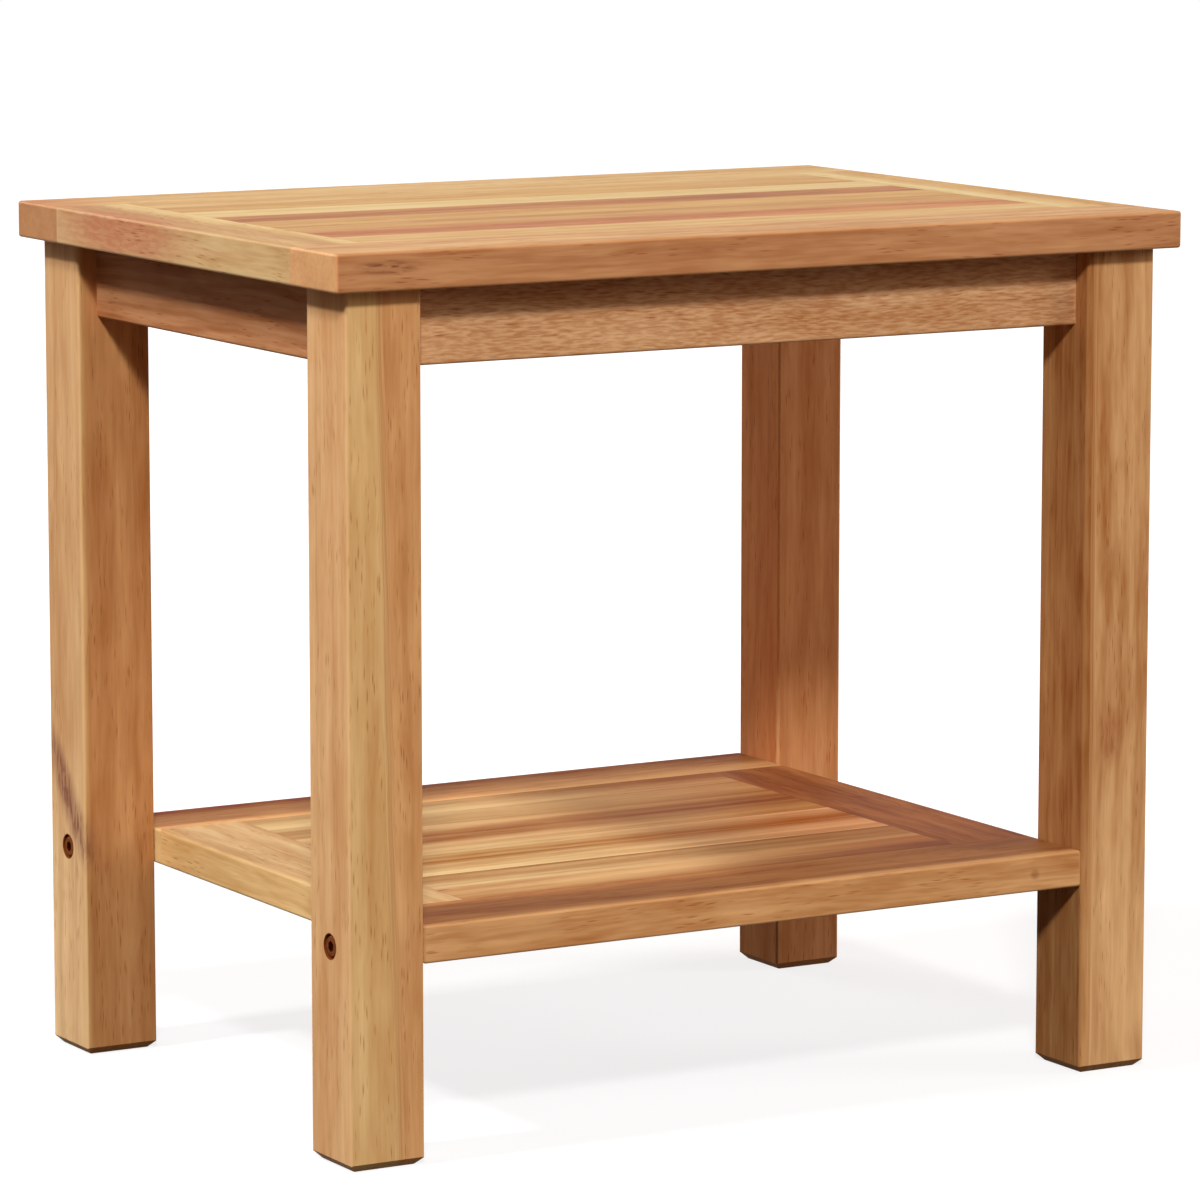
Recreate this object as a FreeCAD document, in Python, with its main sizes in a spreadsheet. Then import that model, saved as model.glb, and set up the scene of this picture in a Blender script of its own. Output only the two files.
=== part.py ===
import FreeCAD, Part
import os

# End table with a shelf, in millimetres. The origin is on the floor under the middle of
# the table; +X runs along its length to the right, +Y to the rear and +Z up.

doc = FreeCAD.newDocument("EndTable")

# Driving dimensions: name, value and what it measures
driving_sizes = [
    ("TableLength", 490, "top, along X"),
    ("TableDepth", 360, "top, along Y"),
    ("TableHeight", 450, "floor to upper face of the top"),
    ("TopThickness", 19, "boards of the top"),
    ("TopOverhang", 10, "top past the outer faces of the legs, all round"),
    ("TopRailWidth", 48, "long boards at the front and rear of the top"),
    ("TopEndWidth", 40, "short boards between them"),
    ("LegSide", 41, "square section of a leg"),
    ("FootChamfer", 4, "bevel round the foot of a leg"),
    ("ApronHeight", 39, "rails under the top"),
    ("ApronThickness", 19, "rails under the top"),
    ("ApronRecess", 11, "apron behind the outer faces of the legs"),
    ("ShelfHeight", 100, "floor to underside of the shelf"),
    ("ShelfThickness", 19, "boards of the shelf"),
    ("ShelfRailWidth", 48, "long boards at the front and rear of the shelf"),
    ("ShelfEndWidth", 48, "short boards between them"),
    ("EdgeRadius", 1.5, "rounded outer edges of legs and boards"),
    ("TenonThickness", 6, "tenons on the short boards"),
    ("TenonLength", 18, "tenon inside the long board"),
    ("TenonShoulder", 8, "board beside the tenon, on each side"),
    ("TongueThickness", 6, "tongues on the ends of the strips"),
    ("TongueLength", 6, "tongue inside the short board"),
    ("FitClearance", 0.15, "gap on each side of a tenon, tongue, dowel or shank"),
    ("GlueGap", 0.5, "free depth past the end of a tenon, tongue, dowel or screw"),
    ("DowelDiameter", 6, "dowels between aprons and legs"),
    ("DowelLength", 24, "half in the apron, half in the leg"),
    ("DowelStep", 7, "height step between hanger bolt and dowels in a leg"),
    ("BlockThickness", 20, "corner block, along its bolt"),
    ("BlockHeight", 34, "corner block, down from the top"),
    ("BlockGap", 4, "free space between leg and corner block"),
    ("HangerDiameter", 6, "bolt from a leg through its corner block"),
    ("HangerGrip", 25, "length of that bolt inside the leg"),
    ("HangerTail", 3, "length of that bolt past its nut"),
    ("WasherDiameter", 14, "washer under the hanger nut"),
    ("WasherThickness", 1.6, "washer under the hanger nut"),
    ("NutWidth", 10, "hanger nut, across flats"),
    ("NutThickness", 5, "hanger nut"),
    ("ScrewDiameter", 3.5, "wood screws in the blocks and aprons"),
    ("ScrewHeadDiameter", 7, "wood screws in the blocks and aprons"),
    ("ScrewHeadHeight", 2.5, "wood screws in the blocks and aprons"),
    ("ScrewBite", 12, "length of a screw inside the apron or the top"),
    ("SlotWidth", 0.9, "cross slot in a screw head"),
    ("SlotLength", 4, "cross slot in a screw head"),
    ("SlotDepth", 1.2, "cross slot in a screw head"),
    ("ApronScrewGrip", 6, "block under the head of a screw into an apron"),
    ("ApronScrewInset", 10, "that screw from the end of the block"),
    ("TopScrewGrip", 20, "apron under the head of a screw into the top"),
    ("TopScrewInset", 30, "outer screw into the top from the corner block"),
    ("BoltDiameter", 6, "bolt through a leg into the shelf"),
    ("BoltHeadDiameter", 12, "round head of that bolt"),
    ("BoltHeadHeight", 5, "round head of that bolt"),
    ("BoltSocketWidth", 5, "hexagon socket in the head, across flats"),
    ("BoltSocketDepth", 3, "hexagon socket in the head"),
    ("BoltRecess", 0.5, "head below the outer face of the leg"),
    ("CounterboreDiameter", 12.5, "hole for the bolt head in the leg"),
    ("InsertDiameter", 10, "threaded insert in the end of a shelf board"),
    ("InsertLength", 18, "threaded insert in the end of a shelf board"),
]
top_strip_count = 8
shelf_strip_count = 8
top_screw_steps = (-1, 0, 1)

sheet = doc.addObject("Spreadsheet::Sheet", "Sizes")
for row, (alias, value, meaning) in enumerate(driving_sizes, 1):
    sheet.set(f"A{row}", alias)
    sheet.set(f"B{row}", str(value))
    sheet.setAlias(f"B{row}", alias)
    sheet.set(f"C{row}", meaning)
doc.recompute()

# Dependent places and sizes, as expressions on the sheet
leg_outer_x = "(Sizes.TableLength / 2 - Sizes.TopOverhang)"
leg_outer_y = "(Sizes.TableDepth / 2 - Sizes.TopOverhang)"
leg_inner_x = f"({leg_outer_x} - Sizes.LegSide)"
leg_inner_y = f"({leg_outer_y} - Sizes.LegSide)"
leg_centre_x = f"({leg_outer_x} - Sizes.LegSide / 2)"
leg_centre_y = f"({leg_outer_y} - Sizes.LegSide / 2)"
leg_height = "(Sizes.TableHeight - Sizes.TopThickness)"
top_middle_z = "(Sizes.TableHeight - Sizes.TopThickness / 2)"
shelf_middle_z = "(Sizes.ShelfHeight + Sizes.ShelfThickness / 2)"
apron_middle_z = f"({leg_height} - Sizes.ApronHeight / 2)"
apron_setback = "(Sizes.ApronRecess + Sizes.ApronThickness / 2)"
shelf_length = f"(2 * {leg_inner_x})"
shelf_depth = f"(2 * {leg_outer_y})"
tenon_hole_thickness = "(Sizes.TenonThickness + 2 * Sizes.FitClearance)"
tenon_hole_depth = "(Sizes.TenonLength + Sizes.GlueGap)"
groove_thickness = "(Sizes.TongueThickness + 2 * Sizes.FitClearance)"
groove_depth = "(Sizes.TongueLength + Sizes.GlueGap)"
dowel_hole_diameter = "(Sizes.DowelDiameter + 2 * Sizes.FitClearance)"
dowel_hole_depth = "(Sizes.DowelLength / 2 + Sizes.GlueGap)"
hanger_hole_diameter = "(Sizes.HangerDiameter + 2 * Sizes.FitClearance)"
screw_hole_diameter = "(Sizes.ScrewDiameter + 2 * Sizes.FitClearance)"
screw_hole_depth = "(Sizes.ScrewBite + Sizes.GlueGap)"
screw_head_hole_diameter = "(Sizes.ScrewHeadDiameter + 4 * Sizes.FitClearance)"
bolt_hole_diameter = "(Sizes.BoltDiameter + 2 * Sizes.FitClearance)"
counterbore_depth = "(Sizes.BoltHeadHeight + Sizes.BoltRecess)"
bolt_length = f"(Sizes.LegSide - {counterbore_depth} + Sizes.InsertLength)"
insert_hole_diameter = "(Sizes.InsertDiameter + 2 * Sizes.FitClearance)"
insert_hole_depth = "(Sizes.InsertLength + Sizes.GlueGap)"

# A corner block spans two aprons at 45 degrees, square to the line through the leg's inner
# corner. It reaches the aprons beyond that corner by the corner's stand-out.
corner_standout = "(Sizes.LegSide - Sizes.ApronRecess - Sizes.ApronThickness)"
block_far_face = "(Sizes.BlockGap + Sizes.BlockThickness)"
block_top = "(Sizes.ApronHeight / 2)"
block_bottom = f"({block_top} - Sizes.BlockHeight)"
block_reach = f"({corner_standout} + sqrt(2) * {block_far_face})"
apron_screw_reach = f"({block_reach} - Sizes.ApronScrewInset)"
top_screw_place = f"({leg_inner_x} - {block_reach} - Sizes.TopScrewInset)"

# Boards round the table: turn about Z and outward direction
sides = {"front": (0, (0, -1)), "right": (90, (1, 0)), "rear": (180, (0, 1)), "left": (270, (-1, 0))}
corners = {"front_left": (-1, -1), "front_right": (1, -1), "rear_left": (-1, 1), "rear_right": (1, 1)}
both_ways = (-1, 1)
upright = FreeCAD.Vector(0, 0, 1)
touching = 0.001
parts = []


def turned(angle):
    return FreeCAD.Rotation(upright, angle)


def facing(x, y, z):
    return FreeCAD.Rotation(upright, FreeCAD.Vector(x, y, z))


def put(item, place, rotation=FreeCAD.Rotation()):
    item.Placement = FreeCAD.Placement(FreeCAD.Vector(), rotation)
    for axis, expression in zip("xyz", place):
        item.setExpression(f"Placement.Base.{axis}", str(expression))


def new_piece(label):
    piece = doc.addObject("PartDesign::Body", label)
    piece.Label = label
    return piece


def new_part(label):
    piece = new_piece(label)
    parts.append(piece)
    return piece


def group(label, pieces):
    item = doc.addObject("Part::Compound", label)
    item.Label = label
    item.Links = pieces
    parts.append(item)


# Add or take away a box given by its size and its centre
def box(piece, action, name, size, centre):
    item = piece.newObject(f"PartDesign::{action}Box", name)
    for side, expression in zip(("Length", "Width", "Height"), size):
        item.setExpression(side, expression)
    put(item, [f"{middle} - {extent} / 2" for middle, extent in zip(centre, size)])
    return item


# Add or take away a cylinder that runs from its start in one direction
def rod(piece, action, name, diameter, length, start, rotation=FreeCAD.Rotation()):
    item = piece.newObject(f"PartDesign::{action}Cylinder", name)
    item.setExpression("Radius", f"{diameter} / 2")
    item.setExpression("Height", length)
    put(item, start, rotation)
    return item


# Add or take away a hexagonal bar along Z
def hexagon(piece, action, name, width, length, start_z):
    item = piece.newObject(f"PartDesign::{action}Prism", name)
    item.Polygon = 6
    item.setExpression("Circumradius", f"{width} / sqrt(3)")
    item.setExpression("Height", length)
    put(item, ("0", "0", start_z))
    return item


# Round or bevel the edges whose bounds pass a test
def dress(piece, kind, size_name, base, wanted, size):
    doc.recompute()
    names = [f"Edge{number}" for number, edge in enumerate(base.Shape.Edges, 1) if wanted(edge.BoundBox)]
    item = piece.newObject(f"PartDesign::{kind}", kind)
    item.Base = (base, names)
    item.setExpression(size_name, size)
    return item


# Turn a board's inner side, local +Y, towards the table's middle
def put_on_side(piece, side, distance, height):
    angle, (out_x, out_y) = sides[side]
    put(piece, (f"{out_x} * {distance}", f"{out_y} * {distance}", height), turned(angle))


# Long board: rounded on all but its inner side, with a blind mortise near each end
def make_long_board(label, length, width, thickness, end_width):
    board = new_part(label)
    blank = box(board, "Additive", "Blank", (length, width, thickness), ("0", "0", "0"))
    doc.recompute()
    inner_face = blank.Shape.BoundBox.YMax - touching
    dress(board, "Fillet", "Radius", blank, lambda bounds: bounds.YMin < inner_face, "Sizes.EdgeRadius")
    mortise_length = f"({end_width} - 2 * Sizes.TenonShoulder + 2 * Sizes.FitClearance)"
    for way in both_ways:
        box(board, "Subtractive", "Mortise",
            (mortise_length, tenon_hole_depth, tenon_hole_thickness),
            (f"{way} * ({length} - {end_width}) / 2", f"({width} - {tenon_hole_depth}) / 2", "0"))
    return board


# Short board between the long ones: a tenon on each end and a groove along its inner side
def make_short_board(label, length, width, thickness):
    board = new_part(label)
    blank = box(board, "Additive", "Blank", (length, width, thickness), ("0", "0", "0"))
    doc.recompute()
    outer_face = blank.Shape.BoundBox.YMin + touching
    inner_end = blank.Shape.BoundBox.XLength - touching
    dress(board, "Fillet", "Radius", blank,
          lambda bounds: bounds.YMax < outer_face and bounds.XLength > inner_end, "Sizes.EdgeRadius")
    tenon_width = f"({width} - 2 * Sizes.TenonShoulder)"
    for way in both_ways:
        box(board, "Additive", "Tenon",
            ("Sizes.TenonLength", tenon_width, "Sizes.TenonThickness"),
            (f"{way} * ({length} + Sizes.TenonLength) / 2", "0", "0"))
    box(board, "Subtractive", "Groove",
        (length, groove_depth, groove_thickness),
        ("0", f"({width} - {groove_depth}) / 2", "0"))
    return board


# Strip of the glued-up field, with a tongue on each end
def make_strip(label, length, width, thickness):
    strip = new_part(label)
    box(strip, "Additive", "Blank", (length, width, thickness), ("0", "0", "0"))
    for way in both_ways:
        box(strip, "Additive", "Tongue",
            ("Sizes.TongueLength", width, "Sizes.TongueThickness"),
            (f"{way} * ({length} + Sizes.TongueLength) / 2", "0", "0"))
    return strip


# Framed panel: two long boards, two short boards and the strips between them
def make_panel(name, length, depth, thickness, rail_width, end_width, strip_count, middle_z):
    between_rails = f"({depth} - 2 * {rail_width})"
    between_ends = f"({length} - 2 * {end_width})"
    strip_width = f"({between_rails} / {strip_count})"
    long_boards = []
    for side in ("front", "rear"):
        board = make_long_board(f"{name}_{side}_rail", length, rail_width, thickness, end_width)
        put_on_side(board, side, f"({depth} - {rail_width}) / 2", middle_z)
        long_boards.append(board)
    for side in ("left", "right"):
        board = make_short_board(f"{name}_{side}_end", between_rails, end_width, thickness)
        put_on_side(board, side, f"({length} - {end_width}) / 2", middle_z)
    for number in range(1, strip_count + 1):
        strip = make_strip(f"{name}_strip_{number}", between_ends, strip_width, thickness)
        place_y = f"({number} - 0.5) * {strip_width} - {between_rails} / 2"
        put(strip, ("0", place_y, middle_z))
    return long_boards


# Leg, from the middle of its foot: bevelled foot, bolt hole for the shelf, dowel holes for
# two aprons and the hanger bolt's hole in its inner corner
def make_leg(label, side_x, side_y):
    leg = new_part(label)
    blank = box(leg, "Additive", "Blank",
                ("Sizes.LegSide", "Sizes.LegSide", leg_height), ("0", "0", f"{leg_height} / 2"))
    foot = dress(leg, "Chamfer", "Size", blank, lambda bounds: bounds.ZMax < touching, "Sizes.FootChamfer")
    dress(leg, "Fillet", "Radius", foot,
          lambda bounds: bounds.XLength < touching and bounds.YLength < touching, "Sizes.EdgeRadius")
    outer_x = f"{side_x} * Sizes.LegSide / 2"
    inner_x = f"{-side_x} * Sizes.LegSide / 2"
    inner_y = f"{-side_y} * Sizes.LegSide / 2"
    inward_x = facing(-side_x, 0, 0)
    rod(leg, "Subtractive", "BoltHole", bolt_hole_diameter, "Sizes.LegSide",
        (outer_x, "0", shelf_middle_z), inward_x)
    rod(leg, "Subtractive", "Counterbore", "Sizes.CounterboreDiameter", counterbore_depth,
        (outer_x, "0", shelf_middle_z), inward_x)
    apron_offset = f"(Sizes.LegSide / 2 - {apron_setback})"
    for way in both_ways:
        rod(leg, "Subtractive", "LongApronDowelHole", dowel_hole_diameter, dowel_hole_depth,
            (inner_x, f"{side_y} * {apron_offset}", f"{apron_middle_z} + {2 * way} * Sizes.DowelStep"),
            facing(side_x, 0, 0))
        rod(leg, "Subtractive", "ShortApronDowelHole", dowel_hole_diameter, dowel_hole_depth,
            (f"{side_x} * {apron_offset}", inner_y, f"{apron_middle_z} + {way} * Sizes.DowelStep"),
            facing(0, side_y, 0))
    rod(leg, "Subtractive", "HangerHole", hanger_hole_diameter, "Sizes.HangerGrip + Sizes.GlueGap",
        (inner_x, inner_y, apron_middle_z), facing(side_x, side_y, 0))
    put(leg, (f"{side_x} * {leg_centre_x}", f"{side_y} * {leg_centre_y}", "0"))


# Apron between two legs: rounded lower edges, two dowel holes in each end and a hole in its
# inner face for the screw of each corner block
def make_apron(side, length, distance, dowel_steps):
    apron = new_part(f"apron_{side}")
    blank = box(apron, "Additive", "Blank",
                (length, "Sizes.ApronThickness", "Sizes.ApronHeight"), ("0", "0", "0"))
    doc.recompute()
    lower_face = blank.Shape.BoundBox.ZMin + touching
    dress(apron, "Fillet", "Radius", blank,
          lambda bounds: bounds.ZMax < lower_face and bounds.YLength < touching, "Sizes.EdgeRadius")
    for end in both_ways:
        for way in both_ways:
            rod(apron, "Subtractive", "DowelHole", dowel_hole_diameter, dowel_hole_depth,
                (f"{end} * {length} / 2", "0", f"{way * dowel_steps} * Sizes.DowelStep"),
                facing(-end, 0, 0))
        rod(apron, "Subtractive", "ScrewHole", screw_hole_diameter, screw_hole_depth,
            (f"{end} * ({length} / 2 - {apron_screw_reach})", "Sizes.ApronThickness / 2", "0"),
            facing(0, -1, 0))
    put_on_side(apron, side, distance, apron_middle_z)
    return apron


# Corner block, from the leg's inner corner at the hanger bolt's height, with local +X
# towards the table's middle
def make_corner_block(label, rotation, place):
    block = new_part(label)
    wedge = block.newObject("PartDesign::AdditiveWedge", "Blank")
    near_half = f"(Sizes.BlockGap + sqrt(2) * {corner_standout})"
    far_half = f"({block_far_face} + sqrt(2) * {corner_standout})"
    extents = {"Ymin": "Sizes.BlockGap", "Ymax": block_far_face,
               "Xmin": f"-{near_half}", "Xmax": near_half, "X2min": f"-{far_half}", "X2max": far_half,
               "Zmin": block_bottom, "Zmax": block_top, "Z2min": block_bottom, "Z2max": block_top}
    for name, expression in extents.items():
        wedge.setExpression(name, expression)
    put(wedge, ("0", "0", "0"), turned(-90))
    rod(block, "Subtractive", "HangerHole", hanger_hole_diameter, f"2 * {block_far_face}",
        ("0", "0", "0"), facing(1, 0, 0))
    for way in both_ways:
        contact_x = f"({apron_screw_reach} - {corner_standout}) / sqrt(2)"
        contact_y = f"{way} * ({apron_screw_reach} + {corner_standout}) / sqrt(2)"
        seat = (f"{contact_x} + Sizes.ApronScrewGrip / sqrt(2)",
                f"{contact_y} - {way} * Sizes.ApronScrewGrip / sqrt(2)", "0")
        rod(block, "Subtractive", "ApronScrewHole", screw_hole_diameter, "2 * Sizes.ApronScrewGrip",
            seat, facing(-1, way, 0))
        rod(block, "Subtractive", "ApronScrewHeadHole", screw_head_hole_diameter, "Sizes.BlockThickness",
            seat, facing(1, -way, 0))
    put(block, place, rotation)


# Wood screw along local Z, from the seat of its head
def make_screw(label, grip):
    screw = new_piece(label)
    rod(screw, "Additive", "Shank", "Sizes.ScrewDiameter", f"{grip} + Sizes.ScrewBite", ("0", "0", "0"))
    rod(screw, "Additive", "Head", "Sizes.ScrewHeadDiameter", "Sizes.ScrewHeadHeight",
        ("0", "0", "-Sizes.ScrewHeadHeight"))
    slot_middle = ("0", "0", "Sizes.SlotDepth / 2 - Sizes.ScrewHeadHeight")
    box(screw, "Subtractive", "Slot", ("Sizes.SlotLength", "Sizes.SlotWidth", "Sizes.SlotDepth"), slot_middle)
    box(screw, "Subtractive", "CrossSlot", ("Sizes.SlotWidth", "Sizes.SlotLength", "Sizes.SlotDepth"),
        slot_middle)
    return screw


# Dowel along local Z, from its middle
def make_dowel(label):
    dowel = new_piece(label)
    rod(dowel, "Additive", "Peg", "Sizes.DowelDiameter", "Sizes.DowelLength",
        ("0", "0", "-Sizes.DowelLength / 2"))
    return dowel


# Hanger bolt, washer and nut along local Z, from the leg's inner corner
def make_hanger_bolt(label):
    bolt = new_piece(label)
    length = (f"Sizes.HangerGrip + {block_far_face} + Sizes.WasherThickness + Sizes.NutThickness"
              " + Sizes.HangerTail")
    rod(bolt, "Additive", "Stud", "Sizes.HangerDiameter", length, ("0", "0", "-Sizes.HangerGrip"))
    return bolt


def make_washer(label):
    washer = new_piece(label)
    rod(washer, "Additive", "Disc", "Sizes.WasherDiameter", "Sizes.WasherThickness",
        ("0", "0", block_far_face))
    rod(washer, "Subtractive", "Bore", hanger_hole_diameter, "Sizes.WasherThickness",
        ("0", "0", block_far_face))
    return washer


def make_nut(label):
    nut = new_piece(label)
    seat = f"{block_far_face} + Sizes.WasherThickness"
    hexagon(nut, "Additive", "Hexagon", "Sizes.NutWidth", "Sizes.NutThickness", seat)
    rod(nut, "Subtractive", "Bore", hanger_hole_diameter, "Sizes.NutThickness", ("0", "0", seat))
    return nut


# Shelf bolt along local Z, from the seat of its head
def make_shelf_bolt(label):
    bolt = new_piece(label)
    rod(bolt, "Additive", "Shank", "Sizes.BoltDiameter", bolt_length, ("0", "0", "0"))
    rod(bolt, "Additive", "Head", "Sizes.BoltHeadDiameter", "Sizes.BoltHeadHeight",
        ("0", "0", "-Sizes.BoltHeadHeight"))
    hexagon(bolt, "Subtractive", "Socket", "Sizes.BoltSocketWidth", "Sizes.BoltSocketDepth",
            "-Sizes.BoltHeadHeight")
    return bolt


# Threaded insert along local Z, from the end of the shelf board
def make_insert(label):
    insert = new_piece(label)
    rod(insert, "Additive", "Sleeve", "Sizes.InsertDiameter", "Sizes.InsertLength", ("0", "0", "0"))
    rod(insert, "Subtractive", "Bore", bolt_hole_diameter, "Sizes.InsertLength", ("0", "0", "0"))
    return insert


# Top and shelf
top_rails = make_panel("top", "Sizes.TableLength", "Sizes.TableDepth", "Sizes.TopThickness",
                       "Sizes.TopRailWidth", "Sizes.TopEndWidth", top_strip_count, top_middle_z)
shelf_rails = make_panel("shelf", shelf_length, shelf_depth, "Sizes.ShelfThickness",
                         "Sizes.ShelfRailWidth", "Sizes.ShelfEndWidth", shelf_strip_count, shelf_middle_z)
for rail in shelf_rails:
    for way in both_ways:
        rod(rail, "Subtractive", "InsertHole", insert_hole_diameter, insert_hole_depth,
            (f"{way} * {shelf_length} / 2", "(Sizes.LegSide - Sizes.ShelfRailWidth) / 2", "0"),
            facing(-way, 0, 0))

# Legs and aprons
for corner, (side_x, side_y) in corners.items():
    make_leg(f"leg_{corner}", side_x, side_y)
for side in ("left", "right"):
    make_apron(side, f"(2 * {leg_inner_y})", f"({leg_outer_x} - {apron_setback})", 1)
long_aprons = [make_apron(side, f"(2 * {leg_inner_x})", f"({leg_outer_y} - {apron_setback})", 2)
               for side in ("front", "rear")]

# Screws up through the long aprons into the long boards of the top
top_screws = []
for apron, rail, side_y in zip(long_aprons, top_rails, both_ways):
    for step in top_screw_steps:
        along = f"{step} * {top_screw_place}"
        apron_foot = (along, "0", "-Sizes.ApronHeight / 2")
        rod(apron, "Subtractive", "TopScrewHole", screw_hole_diameter, "Sizes.ApronHeight", apron_foot)
        rod(apron, "Subtractive", "TopScrewHeadHole", screw_head_hole_diameter,
            "Sizes.ApronHeight - Sizes.TopScrewGrip", apron_foot)
        rod(rail, "Subtractive", "TopScrewHole", screw_hole_diameter, screw_hole_depth,
            (along, f"Sizes.TopOverhang + {apron_setback} - Sizes.TopRailWidth / 2",
             "-Sizes.TopThickness / 2"))
        screw = make_screw("top_screw", "Sizes.TopScrewGrip")
        put(screw, (along, f"{side_y} * ({leg_outer_y} - {apron_setback})",
                    f"{leg_height} - Sizes.TopScrewGrip"))
        top_screws.append(screw)
group("top_screws", top_screws)

# Corner blocks with everything that holds the four corners together
fasteners = {name: [] for name in ("hanger_bolts", "hanger_washers", "hanger_nuts", "apron_screws",
                                   "apron_dowels", "shelf_bolts", "shelf_inserts")}
for corner, (side_x, side_y) in corners.items():
    inner_corner = (f"{side_x} * {leg_inner_x}", f"{side_y} * {leg_inner_y}", apron_middle_z)
    inward = facing(-side_x, -side_y, 0)
    diagonal = FreeCAD.Rotation(FreeCAD.Vector(1, 0, 0), FreeCAD.Vector(-side_x, -side_y, 0))
    make_corner_block(f"corner_block_{corner}", diagonal, inner_corner)
    for name, make in (("hanger_bolts", make_hanger_bolt), ("hanger_washers", make_washer),
                       ("hanger_nuts", make_nut)):
        piece = make(f"{name}_{corner}")
        put(piece, inner_corner, inward)
        fasteners[name].append(piece)

    seat_x = f"{side_x} * ({leg_inner_x} + {corner_standout} - Sizes.ApronScrewGrip)"
    seat_y = f"{side_y} * ({leg_inner_y} + {corner_standout} - Sizes.ApronScrewGrip)"
    along_x = f"{side_x} * ({leg_inner_x} - {apron_screw_reach})"
    along_y = f"{side_y} * ({leg_inner_y} - {apron_screw_reach})"
    long_screw = make_screw(f"long_apron_screw_{corner}", "Sizes.ApronScrewGrip")
    put(long_screw, (along_x, seat_y, apron_middle_z), facing(0, side_y, 0))
    short_screw = make_screw(f"short_apron_screw_{corner}", "Sizes.ApronScrewGrip")
    put(short_screw, (seat_x, along_y, apron_middle_z), facing(side_x, 0, 0))
    fasteners["apron_screws"] += [long_screw, short_screw]

    for way in both_ways:
        long_dowel = make_dowel(f"long_apron_dowel_{corner}")
        put(long_dowel, (f"{side_x} * {leg_inner_x}", f"{side_y} * ({leg_outer_y} - {apron_setback})",
                         f"{apron_middle_z} + {2 * way} * Sizes.DowelStep"), facing(1, 0, 0))
        short_dowel = make_dowel(f"short_apron_dowel_{corner}")
        put(short_dowel, (f"{side_x} * ({leg_outer_x} - {apron_setback})", f"{side_y} * {leg_inner_y}",
                          f"{apron_middle_z} + {way} * Sizes.DowelStep"), facing(0, 1, 0))
        fasteners["apron_dowels"] += [long_dowel, short_dowel]

    shelf_bolt = make_shelf_bolt(f"shelf_bolt_{corner}")
    put(shelf_bolt, (f"{side_x} * ({leg_outer_x} - {counterbore_depth})", f"{side_y} * {leg_centre_y}",
                     shelf_middle_z), facing(-side_x, 0, 0))
    fasteners["shelf_bolts"].append(shelf_bolt)
    insert = make_insert(f"shelf_insert_{corner}")
    put(insert, (f"{side_x} * {leg_inner_x}", f"{side_y} * {leg_centre_y}", shelf_middle_z),
        facing(-side_x, 0, 0))
    fasteners["shelf_inserts"].append(insert)

for label, pieces in fasteners.items():
    group(label, pieces)
doc.recompute()

# Every feature has worked, every cut has taken something away and every part is sound
for item in doc.Objects:
    if "Invalid" in item.State or "Error" in item.State:
        raise RuntimeError(f"{item.Label} failed: {item.State}")
    if item.TypeId.startswith("PartDesign::Subtractive"):
        if item.Shape.Volume >= item.BaseFeature.Shape.Volume:
            raise RuntimeError(f"{item.Label} cuts nothing")
for part in parts:
    if part.Shape.isNull() or not part.Shape.isValid():
        raise RuntimeError(f"{part.Label} has no sound shape")

os.makedirs("parts", exist_ok=True)
for part in parts:
    part.Shape.exportStep(f"parts/{part.Label}.step")
    print(part.Label, len(part.Shape.Solids), round(part.Shape.Volume / 1000, 2), "cm3")
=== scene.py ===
import math
import bpy
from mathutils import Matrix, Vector


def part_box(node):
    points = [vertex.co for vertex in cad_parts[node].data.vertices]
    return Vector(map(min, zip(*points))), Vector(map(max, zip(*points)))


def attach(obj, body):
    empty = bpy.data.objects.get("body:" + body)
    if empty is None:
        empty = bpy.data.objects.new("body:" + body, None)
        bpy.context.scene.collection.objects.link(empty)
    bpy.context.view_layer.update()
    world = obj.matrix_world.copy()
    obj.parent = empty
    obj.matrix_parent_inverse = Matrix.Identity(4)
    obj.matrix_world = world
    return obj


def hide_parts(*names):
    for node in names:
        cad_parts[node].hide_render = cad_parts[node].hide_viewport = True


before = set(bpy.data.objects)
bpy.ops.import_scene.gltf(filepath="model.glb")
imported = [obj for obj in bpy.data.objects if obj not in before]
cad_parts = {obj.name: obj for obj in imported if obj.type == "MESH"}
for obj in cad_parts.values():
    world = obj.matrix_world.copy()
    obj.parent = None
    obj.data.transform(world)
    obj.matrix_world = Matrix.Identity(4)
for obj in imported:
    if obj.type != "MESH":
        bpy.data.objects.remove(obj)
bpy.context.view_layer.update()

print("frame loaded,", len(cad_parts), "nodes")


def toLinear(hexColour):
    parts = [int(hexColour[i:i + 2], 16) / 255 for i in (1, 3, 5)]
    return tuple(c / 12.92 if c <= 0.04045 else ((c + 0.055) / 1.055) ** 2.4 for c in parts) + (1,)


# adds one node, sets its properties, then links or fills its inputs; a list links several to one socket
def addNode(tree, kind, inputs=None, **settings):
    node = tree.nodes.new(kind)
    for name, value in settings.items():
        setattr(node, name, value)
    shown = [socket for socket in node.inputs if socket.enabled]
    for key, source in (inputs or {}).items():
        socket = shown[key] if isinstance(key, int) else next(s for s in shown if s.name == key)
        for item in source if isinstance(source, list) else [source]:
            if isinstance(item, bpy.types.Node):
                item = next(s for s in item.outputs if s.enabled)
            if isinstance(item, bpy.types.NodeSocket):
                tree.links.new(item, socket)
            else:
                socket.default_value = item
    return node


def newMaterial(name):
    material = bpy.data.materials.new(name)
    material.use_nodes = True
    material.node_tree.nodes.clear()
    return material, material.node_tree


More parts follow.
